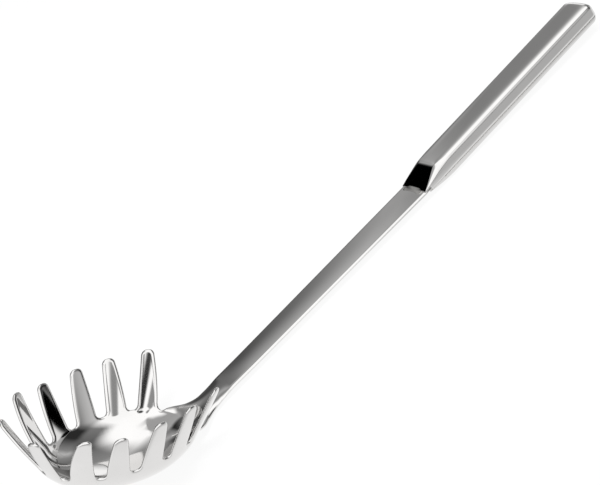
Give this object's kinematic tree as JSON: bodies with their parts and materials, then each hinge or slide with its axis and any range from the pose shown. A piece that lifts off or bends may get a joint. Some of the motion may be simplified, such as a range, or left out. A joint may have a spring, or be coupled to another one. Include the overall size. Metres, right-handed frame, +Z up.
{
  "type": "pasta server",
  "caption": "Mirror-polished steel pasta server: deep oval head ringed with tapered upright tines, long flat shank and a slim hollow handle closed along a seam",
  "frame": {"origin": "middle of the footprint on the table, under the server as it lies bowl up on the dish and the front of the handle", "axes": "+X from the bowl to the handle's end, +Y to the far side of the picture, +Z up from the table"},
  "size_m": [0.3298, 0.0744, 0.0574],
  "materials": {
    "polished_steel": "mirror-polished 18/10 stainless steel",
    "braze": "flush-ground filler metal in the handle's seam",
    "weld": "dressed and polished weld"
  },
  "bodies": {
    "root": {"head_and_shank": "polished_steel", "handle_upper_shell": "polished_steel", "handle_lower_shell": "polished_steel", "handle_seam_braze": "braze", "neck_weld_top": "weld", "neck_weld_under": "weld"}
  },
  "joints": []
}
